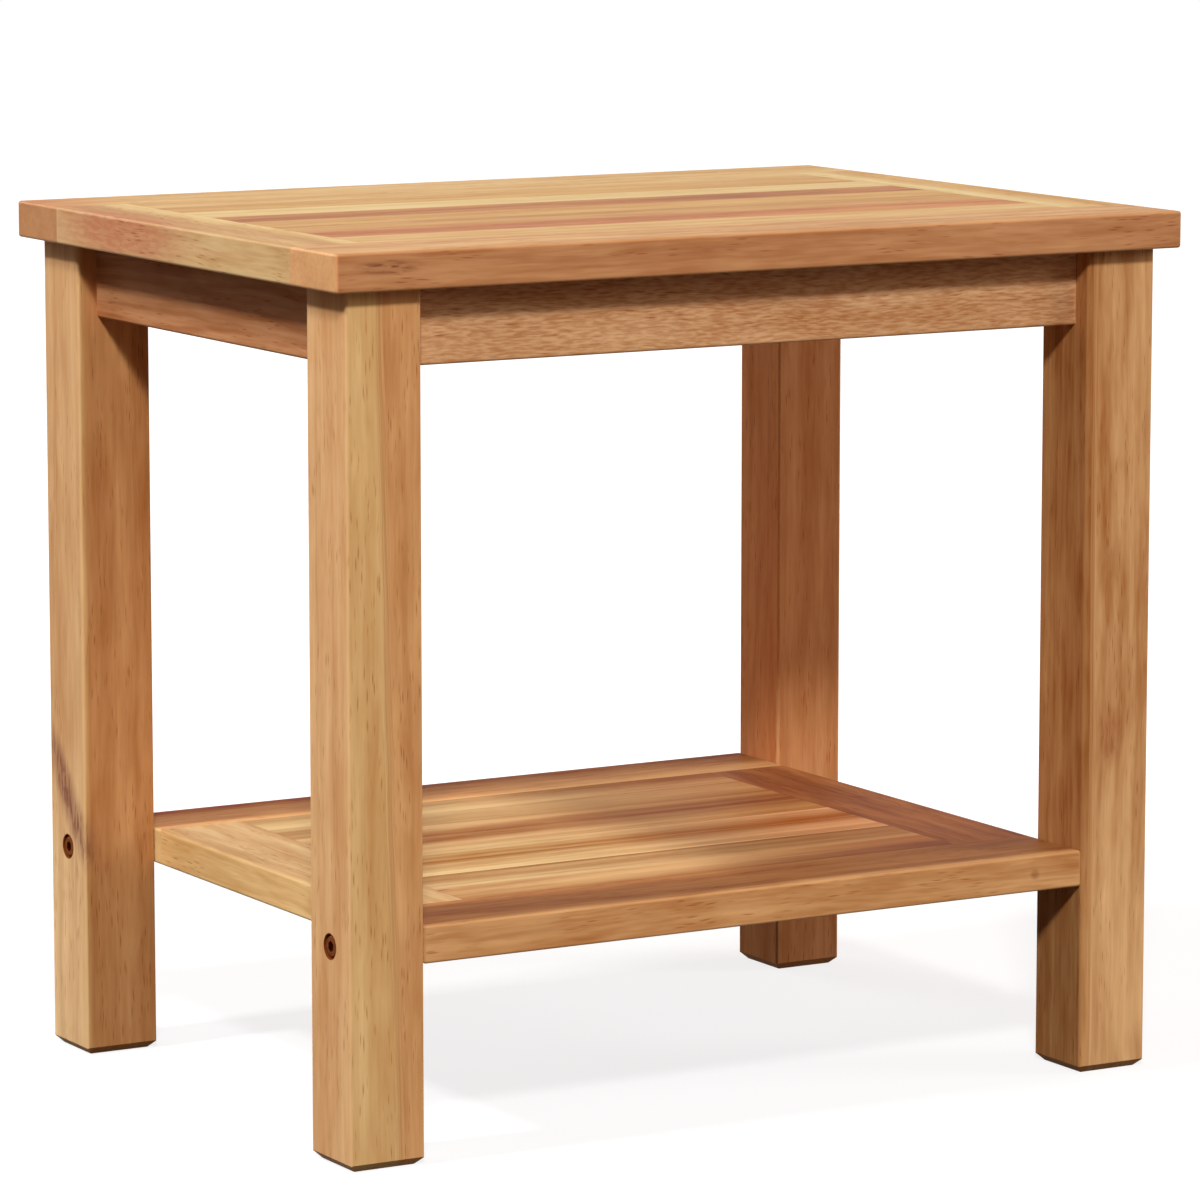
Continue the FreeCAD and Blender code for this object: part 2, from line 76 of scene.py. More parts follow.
# Acacia, planed and oiled: yellow to red-brown bands along the grain, cloudy patches, short open
# pores in drifts and a low sheen. The figure works in mm from a board's middle, grain along X.
boardDefaults = {
    "ringWidth": 10.0, "ringDepth": 0.25, "pith": (0, 60, 90), "wave": 10.0,
    "streakLength": 220.0, "streakWidth": 12.0, "streakDepth": 0.6, "mottleDepth": 0.3, "crossTone": 0.0,
    "fleckLength": 30.0, "fleckWidth": 2.4, "fleckDepth": 0.4, "poreDepth": 0.65,
    "vein": "#7A3E24", "veinDepth": 0.2, "secondSide": (0, 1, 0), "secondStart": 1000.0,
    "secondBlur": 1.0, "secondWander": 0.0, "secondShift": 0.0, "secondLine": 0.0,
    "knot": (0, 0, 100000), "knotSize": (9, 1000, 3), "knotLean": 0.0, "knotDepth": 0.8, "knotGrit": 0.7,
    "roughness": 0.6, "endShade": 0.06, "faceTint": "#FFFFFF", "paleFoot": 0.0, "bore": (0, 0, -1),
    "seamAlong": 0.0, "seamAcross": 0.0, "wear": 0.4, "wearPlus": 1.0, "wearMinus": 1.0, "wearLight": 0.0}

# the figure's patterns in mm, along and across the grain
patternSizes = {"swing": (140, 40), "bend": (200, 60), "ripple": (26, 9), "mottle": (45, 13),
                "wisp": (9, 2.2), "vein": (260, 5), "pore": (16, 1.5), "drift": (60, 11),
                "fibre": (45, 0.9)}
# from where to where a noise shows, a knot fades in shares of its size and an edge in mm
patternFades = {"tone": (0.3, 0.7), "wisp": (0.42, 0.6), "vein": (0.58, 0.76), "pore": (0.05, 0.35),
                "drift": (0.42, 0.6), "fibre": (0.25, 0.75), "knot": (0.3, 1.5), "stave": (0.2, 2.2),
                "endSeam": (0.15, 0.6), "edgeSeam": (0.1, 0.45), "arris": (1.2, 2.8), "bore": (0.1, 0.7),
                "foot": (-20, -150)}
rippleDepth = 2.5   # mm
staveJump = (311, 71, 43)   # mm in the log from one stave of a leg to the other


def perMm(pattern):
    long, wide = patternSizes[pattern]
    return 1 / long, 1 / wide, 1 / wide


def fade(pattern):
    start, end = patternFades[pattern]
    return {"From Min": start, "From Max": end}


def makeAcaciaFigure():
    tree = bpy.data.node_groups.new("acaciaFigure", "ShaderNodeTree")
    perBoard = {"local": (), "shift": (), "half": (), "endOn": 0.0, "faceOn": 0.0, "pale": "", "deep": "",
                "secondPale": "", "secondDeep": ""}
    for name, value in {**perBoard, **boardDefaults}.items():
        kind = {str: "Color", tuple: "Vector", float: "Float"}[type(value)]
        tree.interface.new_socket(name, in_out="INPUT", socket_type="NodeSocket" + kind)
    for name, kind in (("colour", "Color"), ("roughness", "Float"), ("height", "Float")):
        tree.interface.new_socket(name, in_out="OUTPUT", socket_type="NodeSocket" + kind)
    given = addNode(tree, "NodeGroupInput").outputs
    local = given["local"]

    # second tone: a glued stave where the blur is small, sapwood where it is wide; on the shelf strips a
    # redder, darker right end that is partly painted shade
    slow = addNode(tree, "ShaderNodeVectorMath", {0: local, 1: perMm("swing")}, operation="MULTIPLY")
    swing = addNode(tree, "ShaderNodeTexNoise", {"Vector": slow, "Scale": 1, "Detail": 2})
    swing = addNode(tree, "ShaderNodeMath", {0: swing, 1: 0.5}, operation="SUBTRACT")
    across = addNode(tree, "ShaderNodeVectorMath", {0: local, 1: given["secondSide"]},
                     operation="DOT_PRODUCT")
    reach = addNode(tree, "ShaderNodeMath", {0: swing, 1: given["secondWander"], 2: across},
                    operation="MULTIPLY_ADD")
    reach = addNode(tree, "ShaderNodeMath", {0: reach, 1: given["secondStart"]}, operation="SUBTRACT")
    under = addNode(tree, "ShaderNodeMath", {0: given["secondBlur"], 1: -1}, operation="MULTIPLY")
    second = addNode(tree, "ShaderNodeMapRange", {"Value": reach, "From Min": under,
                                                  "From Max": given["secondBlur"]},
                     interpolation_type="SMOOTHSTEP")
    border = addNode(tree, "ShaderNodeMath", {0: reach}, operation="ABSOLUTE")
    border = addNode(tree, "ShaderNodeMapRange", {"Value": border, **fade("stave"), "To Min": 1,
                                                  "To Max": 0}, interpolation_type="SMOOTHSTEP")
    border = addNode(tree, "ShaderNodeMath", {0: border, 1: given["secondLine"]}, operation="MULTIPLY")
    jump = addNode(tree, "ShaderNodeMath", {0: second, 1: given["secondShift"]}, operation="MULTIPLY")
    jump = addNode(tree, "ShaderNodeVectorMath", {0: staveJump, "Scale": jump}, operation="SCALE")
    place = addNode(tree, "ShaderNodeVectorMath", {0: local, 1: given["shift"]}, operation="ADD")
    place = addNode(tree, "ShaderNodeVectorMath", {0: place, 1: jump}, operation="ADD")

    # grain that wanders: a slow bend and a small ripple
    slow = addNode(tree, "ShaderNodeVectorMath", {0: place, 1: perMm("bend")}, operation="MULTIPLY")
    bend = addNode(tree, "ShaderNodeTexNoise", {"Vector": slow, "Scale": 1, "Detail": 1.5})
    bend = addNode(tree, "ShaderNodeVectorMath", {0: bend.outputs["Color"], 1: (0.5, 0.5, 0.5)},
                   operation="SUBTRACT")
    bend = addNode(tree, "ShaderNodeVectorMath", {0: bend, "Scale": given["wave"]}, operation="SCALE")
    ripple = addNode(tree, "ShaderNodeVectorMath", {0: place, 1: perMm("ripple")}, operation="MULTIPLY")
    ripple = addNode(tree, "ShaderNodeTexNoise", {"Vector": ripple, "Scale": 1, "Detail": 1})
    ripple = addNode(tree, "ShaderNodeVectorMath", {0: ripple.outputs["Color"], 1: (0.5, 0.5, 0.5)},
                     operation="SUBTRACT")
    ripple = addNode(tree, "ShaderNodeVectorMath", {0: ripple, "Scale": rippleDepth}, operation="SCALE")
    bent = addNode(tree, "ShaderNodeVectorMath", {0: place, 1: bend}, operation="ADD")
    bent = addNode(tree, "ShaderNodeVectorMath", {0: bent, 1: ripple}, operation="ADD")

    # growth rings round a pith beside the board, uneven in width
    pith = addNode(tree, "ShaderNodeVectorMath", {0: given["shift"], 1: given["pith"]}, operation="ADD")
    radius = addNode(tree, "ShaderNodeVectorMath", {0: bent, 1: pith}, operation="SUBTRACT")
    radius = addNode(tree, "ShaderNodeVectorMath", {0: radius, 1: (0.02, 1, 1)}, operation="MULTIPLY")
    radius = addNode(tree, "ShaderNodeVectorMath", {0: radius}, operation="LENGTH")
    years = addNode(tree, "ShaderNodeMath", {0: radius, 1: given["ringWidth"]}, operation="DIVIDE")
    rings = addNode(tree, "ShaderNodeTexNoise", {"W": years, "Scale": 1, "Detail": 2, "Roughness": 0.5},
                    noise_dimensions="1D")
    tone = addNode(tree, "ShaderNodeMapRange", {"Value": rings, **fade("tone"), "To Min": -0.5,
                                                "To Max": 0.5}, interpolation_type="SMOOTHSTEP")
    tone = addNode(tree, "ShaderNodeMath", {0: tone, 1: given["ringDepth"], 2: 0.5},
                   operation="MULTIPLY_ADD")

    # long streaks, clouds and short flecks, added up to one tone
    sizes = {"streak": (given["streakLength"], given["streakWidth"]), "mottle": patternSizes["mottle"],
             "fleck": (given["fleckLength"], given["fleckWidth"])}
    for name, (long, wide) in sizes.items():
        size = addNode(tree, "ShaderNodeCombineXYZ", {0: long, 1: wide, 2: wide})
        field = addNode(tree, "ShaderNodeVectorMath", {0: bent, 1: size}, operation="DIVIDE")
        field = addNode(tree, "ShaderNodeTexNoise", {"Vector": field, "Scale": 1, "Detail": 2,
                                                     "Roughness": 0.5})
        field = addNode(tree, "ShaderNodeMapRange", {"Value": field, **fade("tone"), "To Min": -0.5,
                                                     "To Max": 0.5}, interpolation_type="SMOOTHSTEP")
        tone = addNode(tree, "ShaderNodeMath", {0: field, 1: given[name + "Depth"], 2: tone},
                       operation="MULTIPLY_ADD")

    # a tone that leans across the board, and a paler foot on the tinted face of a leg
    spot = addNode(tree, "ShaderNodeSeparateXYZ", {0: local}).outputs
    halfY = addNode(tree, "ShaderNodeSeparateXYZ", {0: given["half"]}).outputs[1]
    lean = addNode(tree, "ShaderNodeMath", {0: spot[1], 1: halfY}, operation="DIVIDE")
    tone = addNode(tree, "ShaderNodeMath", {0: lean, 1: given["crossTone"], 2: tone},
                   operation="MULTIPLY_ADD")
    foot = addNode(tree, "ShaderNodeMapRange", {"Value": spot[0], **fade("foot")},
                   interpolation_type="SMOOTHSTEP")
    foot = addNode(tree, "ShaderNodeMath", {0: foot, 1: given["faceOn"]}, operation="MULTIPLY")
    foot = addNode(tree, "ShaderNodeMath", {0: foot, 1: given["paleFoot"]}, operation="MULTIPLY")
    tone = addNode(tree, "ShaderNodeMath", {0: tone, 1: foot}, operation="SUBTRACT")
    pale = addNode(tree, "ShaderNodeMix", {"Factor": second, "A": given["pale"], "B": given["secondPale"]},
                   data_type="RGBA")
    deep = addNode(tree, "ShaderNodeMix", {"Factor": second, "A": given["deep"], "B": given["secondDeep"]},
                   data_type="RGBA")
    colour = addNode(tree, "ShaderNodeMix", {"Factor": tone, "A": pale, "B": deep}, data_type="RGBA",
                     clamp_factor=False)

    # knot: an oval of dark wisps, its long side leaning across the grain if asked
    fromKnot = addNode(tree, "ShaderNodeVectorMath", {0: local, 1: given["knot"]}, operation="SUBTRACT")
    knotXyz = addNode(tree, "ShaderNodeSeparateXYZ", {0: fromKnot}).outputs
    leaning = addNode(tree, "ShaderNodeMath", {0: knotXyz[0], 1: given["knotLean"], 2: knotXyz[1]},
                      operation="MULTIPLY_ADD")
    fromKnot = addNode(tree, "ShaderNodeCombineXYZ", {0: knotXyz[0], 1: leaning, 2: knotXyz[2]})
    fromKnot = addNode(tree, "ShaderNodeVectorMath", {0: fromKnot, 1: given["knotSize"]},
                       operation="DIVIDE")
    fromKnot = addNode(tree, "ShaderNodeVectorMath", {0: fromKnot}, operation="LENGTH")
    oval = addNode(tree, "ShaderNodeMapRange", {"Value": fromKnot, **fade("knot"), "To Min": 1,
                                                "To Max": 0}, interpolation_type="SMOOTHSTEP")
    rough = addNode(tree, "ShaderNodeVectorMath", {0: local, 1: perMm("wisp")}, operation="MULTIPLY")
    rough = addNode(tree, "ShaderNodeTexNoise", {"Vector": rough, "Scale": 1, "Detail": 2})
    wisps = addNode(tree, "ShaderNodeMapRange", {"Value": rough, **fade("wisp")},
                    interpolation_type="SMOOTHSTEP")
    wisps = addNode(tree, "ShaderNodeMix", {"Factor": given["knotGrit"], "A": 1.0, "B": wisps})
    knot = addNode(tree, "ShaderNodeMath", {0: oval, 1: wisps}, operation="MULTIPLY")
    knot = addNode(tree, "ShaderNodeMath", {0: knot, 1: given["knotDepth"]}, operation="MULTIPLY")

    # dark veins of heartwood, one of them along the border of a stave
    veins = addNode(tree, "ShaderNodeVectorMath", {0: bent, 1: perMm("vein")}, operation="MULTIPLY")
    veins = addNode(tree, "ShaderNodeTexNoise", {"Vector": veins, "Scale": 1, "Detail": 2})
    veins = addNode(tree, "ShaderNodeMapRange", {"Value": veins, **fade("vein")},
                    interpolation_type="SMOOTHSTEP")
    veins = addNode(tree, "ShaderNodeMath", {0: veins, 1: given["veinDepth"]}, operation="MULTIPLY")
    dark = addNode(tree, "ShaderNodeMath", {0: veins, 1: knot}, operation="MAXIMUM")
    dark = addNode(tree, "ShaderNodeMath", {0: dark, 1: border}, operation="MAXIMUM")
    colour = addNode(tree, "ShaderNodeMix", {"Factor": dark, "A": colour, "B": given["vein"]},
                     data_type="RGBA")

    # open pores, dashes of about 7 by 0.7 mm in drifts: coarser than the real 0.3 mm, so that they show
    pores = addNode(tree, "ShaderNodeVectorMath", {0: bent, 1: perMm("pore")}, operation="MULTIPLY")
    pores = addNode(tree, "ShaderNodeTexVoronoi", {"Vector": pores, "Scale": 1})
    pores = addNode(tree, "ShaderNodeMapRange", {"Value": pores, **fade("pore"), "To Min": 1, "To Max": 0},
                    interpolation_type="SMOOTHSTEP")
    drift = addNode(tree, "ShaderNodeVectorMath", {0: place, 1: perMm("drift")}, operation="MULTIPLY")
    drift = addNode(tree, "ShaderNodeTexNoise", {"Vector": drift, "Scale": 1, "Detail": 1})
    drift = addNode(tree, "ShaderNodeMapRange", {"Value": drift, **fade("drift")},
                    interpolation_type="SMOOTHSTEP")
    pores = addNode(tree, "ShaderNodeMath", {0: pores, 1: drift}, operation="MULTIPLY")
    inked = addNode(tree, "ShaderNodeMath", {0: pores, 1: given["poreDepth"]}, operation="MULTIPLY")
    colour = addNode(tree, "ShaderNodeMix", {"Factor": inked, "A": colour, "B": toLinear("#BE8A60")},
                     data_type="RGBA", blend_type="MULTIPLY")

    # fibres finer than a millimetre
    fibre = addNode(tree, "ShaderNodeVectorMath", {0: place, 1: perMm("fibre")}, operation="MULTIPLY")
    fibre = addNode(tree, "ShaderNodeTexNoise", {"Vector": fibre, "Scale": 1, "Detail": 2})
    light = addNode(tree, "ShaderNodeMapRange", {"Value": fibre, **fade("fibre"), "To Min": 0.95,
                                                 "To Max": 1.05})
    colour = addNode(tree, "ShaderNodeMix", {"Factor": 1, "A": colour, "B": light}, data_type="RGBA",
                     blend_type="MULTIPLY")

    # distance to the faces of the board: glue lines at joints, and arrises made paler, partly for wear and
    # partly as a painted highlight along the rounded edges
    away = addNode(tree, "ShaderNodeVectorMath", {0: local}, operation="ABSOLUTE")
    away = addNode(tree, "ShaderNodeVectorMath", {0: given["half"], 1: away}, operation="SUBTRACT")
    away = addNode(tree, "ShaderNodeSeparateXYZ", {0: away}).outputs
    ends = addNode(tree, "ShaderNodeMapRange", {"Value": away[0], **fade("endSeam"), "To Min": 1,
                                                "To Max": 0})
    ends = addNode(tree, "ShaderNodeMath", {0: ends, 1: given["seamAlong"]}, operation="MULTIPLY")
    edges = addNode(tree, "ShaderNodeMapRange", {"Value": away[1], **fade("edgeSeam"), "To Min": 1,
                                                 "To Max": 0})
    edges = addNode(tree, "ShaderNodeMath", {0: edges, 1: given["seamAcross"]}, operation="MULTIPLY")
    seams = addNode(tree, "ShaderNodeMath", {0: ends, 1: edges}, operation="MAXIMUM")
    colour = addNode(tree, "ShaderNodeMix", {"Factor": seams, "A": colour, "B": given["vein"]},
                     data_type="RGBA")
    plus = addNode(tree, "ShaderNodeMath", {0: spot[1], 1: given["wearPlus"]}, operation="MULTIPLY")
    minus = addNode(tree, "ShaderNodeMath", {0: given["wearMinus"], 1: -1}, operation="MULTIPLY")
    minus = addNode(tree, "ShaderNodeMath", {0: spot[1], 1: minus}, operation="MULTIPLY")
    side = addNode(tree, "ShaderNodeMath", {0: plus, 1: minus}, operation="MAXIMUM")
    side = addNode(tree, "ShaderNodeMath", {0: halfY, 1: side}, operation="SUBTRACT")
    low = addNode(tree, "ShaderNodeMath", {0: side, 1: away[2]}, operation="MINIMUM")
    high = addNode(tree, "ShaderNodeMath", {0: side, 1: away[2]}, operation="MAXIMUM")
    middle = addNode(tree, "ShaderNodeMath", {0: high, 1: away[0]}, operation="MINIMUM")
    arris = addNode(tree, "ShaderNodeMath", {0: low, 1: middle}, operation="MAXIMUM")
    arris = addNode(tree, "ShaderNodeMath", {0: rough, 1: 1.6, 2: arris}, operation="MULTIPLY_ADD")
    worn = addNode(tree, "ShaderNodeMapRange", {"Value": arris, **fade("arris"), "To Min": 1, "To Max": 0},
                   interpolation_type="SMOOTHSTEP")
    worn = addNode(tree, "ShaderNodeMath", {0: worn, 1: given["wear"]}, operation="MULTIPLY")
    # painted highlight: the arris colour can be pushed from the pale wood towards a bright cream
    bare = addNode(tree, "ShaderNodeMix", {"Factor": given["wearLight"], "A": pale,
                                           "B": toLinear("#FFDDA6")}, data_type="RGBA")
    colour = addNode(tree, "ShaderNodeMix", {"Factor": worn, "A": colour, "B": bare}, data_type="RGBA")

    # end grain is calmer, and darker where it drank more oil
    calm = addNode(tree, "ShaderNodeMath", {0: given["endOn"], 1: 0.6}, operation="MULTIPLY")
    even = addNode(tree, "ShaderNodeMix", {"Factor": 0.5, "A": pale, "B": deep}, data_type="RGBA")
    colour = addNode(tree, "ShaderNodeMix", {"Factor": calm, "A": colour, "B": even}, data_type="RGBA")
    shade = addNode(tree, "ShaderNodeMath", {0: given["endOn"], 1: given["endShade"]}, operation="MULTIPLY")
    shade = addNode(tree, "ShaderNodeMath", {0: 1, 1: shade}, operation="SUBTRACT")
    colour = addNode(tree, "ShaderNodeMix", {"Factor": 1, "A": colour, "B": shade}, data_type="RGBA",
                     blend_type="MULTIPLY")

    # one face multiplied by its own tint: partly a redder or pinker layer of the log, partly painted shade
    # where a grey tint darkens the top or the front against the other faces
    colour = addNode(tree, "ShaderNodeMix", {"Factor": given["faceOn"], "A": colour,
                                             "B": given["faceTint"]}, data_type="RGBA",
                     blend_type="MULTIPLY")

    # painted shade: darker round a bolt's bore, given as its place along and across and its radius, for the
    # shaded wall and rim of the counterbore
    bore = addNode(tree, "ShaderNodeSeparateXYZ", {0: given["bore"]}).outputs
    gap = addNode(tree, "ShaderNodeCombineXYZ", {0: bore[0], 1: bore[1]})
    gap = addNode(tree, "ShaderNodeVectorMath", {0: local, 1: gap}, operation="SUBTRACT")
    gap = addNode(tree, "ShaderNodeVectorMath", {0: gap, 1: (1, 1, 0)}, operation="MULTIPLY")
    gap = addNode(tree, "ShaderNodeVectorMath", {0: gap}, operation="LENGTH")
    gap = addNode(tree, "ShaderNodeMath", {0: gap, 1: bore[2]}, operation="SUBTRACT")
    soaked = addNode(tree, "ShaderNodeMapRange", {"Value": gap, **fade("bore"), "To Min": 1, "To Max": 0},
                     interpolation_type="SMOOTHSTEP")
    colour = addNode(tree, "ShaderNodeMix", {"Factor": soaked, "A": colour, "B": toLinear("#8C5A38")},
                     data_type="RGBA", blend_type="MULTIPLY")

    # oil leaves the fibres satin and the pores matt
    gloss = addNode(tree, "ShaderNodeMath", {0: fibre, 1: 0.2, 2: given["roughness"]},
                    operation="MULTIPLY_ADD")
    gloss = addNode(tree, "ShaderNodeMath", {0: gloss, 1: 0.1}, operation="SUBTRACT")
    gloss = addNode(tree, "ShaderNodeMath", {0: pores, 1: 0.2, 2: gloss}, operation="MULTIPLY_ADD")
    height = addNode(tree, "ShaderNodeMath", {0: fibre, 1: 0.5}, operation="MULTIPLY")
    height = addNode(tree, "ShaderNodeMath", {0: height, 1: pores}, operation="SUBTRACT")
    addNode(tree, "NodeGroupOutput", {"colour": colour, "roughness": gloss, "height": height})
    return tree


acaciaFigure = makeAcaciaFigure()

# pale and deep colours of the boards as they were sorted, from sapwood to heartwood
acaciaWoods = {
    "cream": ("#E4CE95", "#D1AF72"),
    "wheat": ("#CDB680", "#BD9B61"),
    "straw": ("#C8A872", "#B3874C"),
    "sand": ("#D3B27C", "#B3864F"),
    "oat": ("#C6A36F", "#AB804D"),
    "honey": ("#E6C286", "#C9975D"),
    "butter": ("#F0CA8C", "#D19E61"),
    "gold": ("#C19A5B", "#A8783F"),
    "ginger": ("#BA9055", "#A2703A"),
    "amber": ("#DFAC74", "#BB7F4A"),
    "fawn": ("#D7A87A", "#B57C4E"),
    "apricot": ("#E2A26C", "#C07A46"),
    "peach": ("#F5AF76", "#D1844C"),
    "tan": ("#C59B67", "#A57240"),
    "cinnamon": ("#D29A64", "#B0723F"),
    "copper": ("#C68E58", "#A66836"),
    "clay": ("#C68D61", "#A6673C"),
    "chestnut": ("#BC8048", "#98582E"),
    "umber": ("#AD7540", "#8B5026"),
    "russet": ("#AE6C3C", "#844524"),
}
grainTurns = {"x": (0, 0, 0), "y": (0, 0, math.pi / 2), "z": (0, -math.pi / 2, 0),
              "slant": (0, 0, math.pi / 4), "backslant": (0, 0, -math.pi / 4)}
grainLines = {"x": (1, 0, 0), "y": (0, 1, 0), "z": (0, 0, 1), "slant": (0.7071, 0.7071, 0),
              "backslant": (0.7071, -0.7071, 0)}


# one board's own wood: its colours, its place in the log and what sets it apart
def oilBoard(nodeName, grain, number, wood, second=None, trim=0, sheen=0.03, faceSide=(0, 0, 0), **changes):
    low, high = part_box(nodeName)
    half = (high - low) * 500   # half the board in mm
    order = {"y": (1, 0, 2), "z": (2, 1, 0)}.get(grain, (0, 1, 2))
    half = Vector([half[i] for i in order]) - Vector((trim, 0, 0))
    material, tree = newMaterial("oiledAcacia_" + nodeName)
    where = addNode(tree, "ShaderNodeTexCoord").outputs
    local = addNode(tree, "ShaderNodeMapping", {"Vector": where["Object"], "Location": (low + high) / 2,
                    "Rotation": grainTurns[grain], "Scale": (0.001, 0.001, 0.001)}, vector_type="TEXTURE")
    endOn = addNode(tree, "ShaderNodeVectorMath", {0: where["Normal"], 1: grainLines[grain]},
                    operation="DOT_PRODUCT")
    endOn = addNode(tree, "ShaderNodeMath", {0: endOn}, operation="ABSOLUTE")
    faceOn = addNode(tree, "ShaderNodeVectorMath", {0: where["Normal"], 1: faceSide},
                     operation="DOT_PRODUCT")
    faceOn = addNode(tree, "ShaderNodeMath", {0: faceOn, 1: 0}, operation="MAXIMUM")
    pale, deep = acaciaWoods[wood]
    secondPale, secondDeep = acaciaWoods[second or wood]
    board = {"pale": pale, "deep": deep, "secondPale": secondPale, "secondDeep": secondDeep, "half": half,
             "shift": (number * 733.0 % 4000, number * 97.0 % 900, number * 61.0 % 700), "local": local,
             "endOn": endOn, "faceOn": faceOn, **boardDefaults, **changes}
    figure = tree.nodes.new("ShaderNodeGroup")
    figure.node_tree = acaciaFigure
    for name, value in board.items():
        if isinstance(value, bpy.types.Node):
            tree.links.new(next(s for s in value.outputs if s.enabled), figure.inputs[name])
        else:
            figure.inputs[name].default_value = toLinear(value) if isinstance(value, str) else value
    bump = addNode(tree, "ShaderNodeBump", {"Height": figure.outputs["height"], "Strength": 0.3,
                                            "Distance": 0.0002})
    shader = addNode(tree, "ShaderNodeBsdfPrincipled", {
        "Base Color": figure.outputs["colour"], "Roughness": figure.outputs["roughness"], "Normal": bump,
        "IOR": 1.46, "Specular IOR Level": sheen})
    addNode(tree, "ShaderNodeOutputMaterial", {"Surface": shader})
    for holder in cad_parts[nodeName].material_slots:
        holder.material = material


# boards of the top: long rails, short ends, then the strips from front to rear
topOil = {"sheen": 0.15, "roughness": 0.53}
topStrip = {**topOil, "trim": 6, "seamAlong": 0.4, "seamAcross": 0.2, "wear": 0, "poreDepth": 0.3,
            "fleckDepth": 0.2}
topEnd = {**topOil, "trim": 18, "seamAlong": 0.5, "wear": 0.3}
# painted light: the left end face gets a paler wood and no end-grain darkening, so that it looks lit from
# the left
oilBoard("top_front_rail", "x", 1, "tan", "amber", faceSide=(0, -1, 0), faceTint="#FFEAED",
         secondSide=(-1, 0, 0), secondStart=244.2, secondBlur=0.6, wearPlus=0, endShade=0,
         knot=(-218, -24, 2), knotSize=(16, 1000, 3.2), vein="#6A341E", **topOil)
oilBoard("top_rear_rail", "x", 2, "straw", "copper", secondSide=(-1, 0, 0), secondStart=215, secondBlur=35,
         secondWander=30, wearMinus=0, **topOil)
# partly painted shade: the tint darkens the top against the paler left face
oilBoard("top_left_end", "y", 3, "sand", "cream", faceSide=(0, 0, 1), faceTint="#E6DDD2",
         secondSide=(0, -1, 0), secondStart=8, secondBlur=6, secondWander=12, wearMinus=0, knot=(60, 20, 2),
         knotSize=(75, 14, 16), knotGrit=0.3, knotDepth=0.8, vein="#B4643F", **topEnd)
oilBoard("top_right_end", "y", 4, "gold", "wheat", secondSide=(0, 1, 0), secondStart=2, secondBlur=7,
         secondWander=12, wearPlus=0, **topEnd)
topWoods = ("straw", "chestnut", "ginger", "gold", "umber", "wheat", "gold", "straw")
redStreak = {"knot": (130, 8.2, 0), "knotSize": (75, 1.4, 1000), "knotLean": 0.084, "knotGrit": 0.3,
             "streakDepth": 1.0}
for number, wood in enumerate(topWoods, 1):
    own = redStreak if wood == "umber" else {}
    oilBoard(f"top_strip_{number}", "x", 4 + number, wood, **{**topStrip, **own})

# boards of the shelf, the strips redder and darker towards the right, partly in the wood and partly as
# painted shade
shelfOil = {"sheen": 0.09}
shelfStrip = {**shelfOil, "trim": 6, "seamAlong": 0.4, "seamAcross": 0.2, "wear": 0, "poreDepth": 0.3,
              "fleckDepth": 0.2, "mottleDepth": 0.12, "streakLength": 420.0, "streakWidth": 13.0,
              "streakDepth": 1.2, "veinDepth": 0.35, "secondSide": (1, 0, 0), "secondStart": 40.0,
              "secondBlur": 110.0, "secondWander": 60.0}
shelfEnd = {**shelfOil, "trim": 18, "seamAlong": 0.5, "wear": 0.3}
oilBoard("shelf_front_rail", "x", 21, "umber", "amber", secondSide=(0, -1, 0), secondStart=20, secondBlur=4,
         secondWander=6, wearPlus=0, knot=(165.1, -24, -0.2), knotSize=(2.6, 1000, 2.6), knotDepth=0.5,
         knotGrit=0.2, **shelfOil)
oilBoard("shelf_rear_rail", "x", 22, "copper", "honey", secondSide=(-1, 0, 0), secondStart=193.2,
         secondBlur=0.6, crossTone=1.2, wearMinus=0, **shelfOil)
# painted light and shade: a pale wood lights the left face, and a grey tint darkens the top
oilBoard("shelf_left_end", "y", 23, "butter", faceSide=(0, 0, 1), faceTint="#DEDEE6", wearMinus=0,
         **shelfEnd)
oilBoard("shelf_right_end", "y", 24, "russet", wearPlus=0, **shelfEnd)
shelfWoods = (("tan", "russet"), ("oat", "copper"), ("sand", "apricot"), ("sand", "apricot"),
              ("tan", "chestnut"), ("tan", "chestnut"), ("oat", "copper"), ("oat", "copper"))
# how much deeper each strip gets from its middle to its rear edge
shelfLeans = (-0.8, 0.9, 0.6, -1.0, 0.7, -0.4, 0.1, 0.8)
pinKnot = {"knot": (-144, 10.8, 0), "knotSize": (5, 1.2, 1000), "knotGrit": 0.2}
for number, ((wood, second), lean) in enumerate(zip(shelfWoods, shelfLeans), 1):
    own = pinKnot if number == 1 else {}
    oilBoard(f"shelf_strip_{number}", "x", 24 + number, wood, second, crossTone=lean, **shelfStrip, **own)

# legs, the front ones glued up from two staves, and the aprons
# the bore darkens round the shelf bolt's counterbore as painted shade
leg = {"bore": (-106, 0, 6.25), "streakWidth": 11.0, "streakDepth": 0.45, "fleckDepth": 0.22,
       "poreDepth": 0.6, "veinDepth": 0.15}
oilBoard("leg_front_left", "z", 41, "honey", "amber", faceSide=(-1, 0, 0), faceTint="#FFF5FF",
         secondSide=(0.02, 0, -1), secondStart=2, secondBlur=3, secondWander=5, secondShift=1,
         secondLine=0.12, **leg)
oilBoard("leg_front_right", "z", 42, "copper", "amber", faceSide=(0, -1, 0), faceTint="#F3F3F5",
         paleFoot=0.85, secondSide=(0, 0, -1), secondStart=-15, secondBlur=2, secondWander=4, secondShift=1,
         mottleDepth=0.5, knot=(-38.5, -20.5, 3.5), knotSize=(14, 6, 8), knotDepth=0.5, knotGrit=0.6,
         vein="#A0522A", **{**leg, "streakWidth": 9.0, "streakDepth": 0.7, "fleckDepth": 0.35})
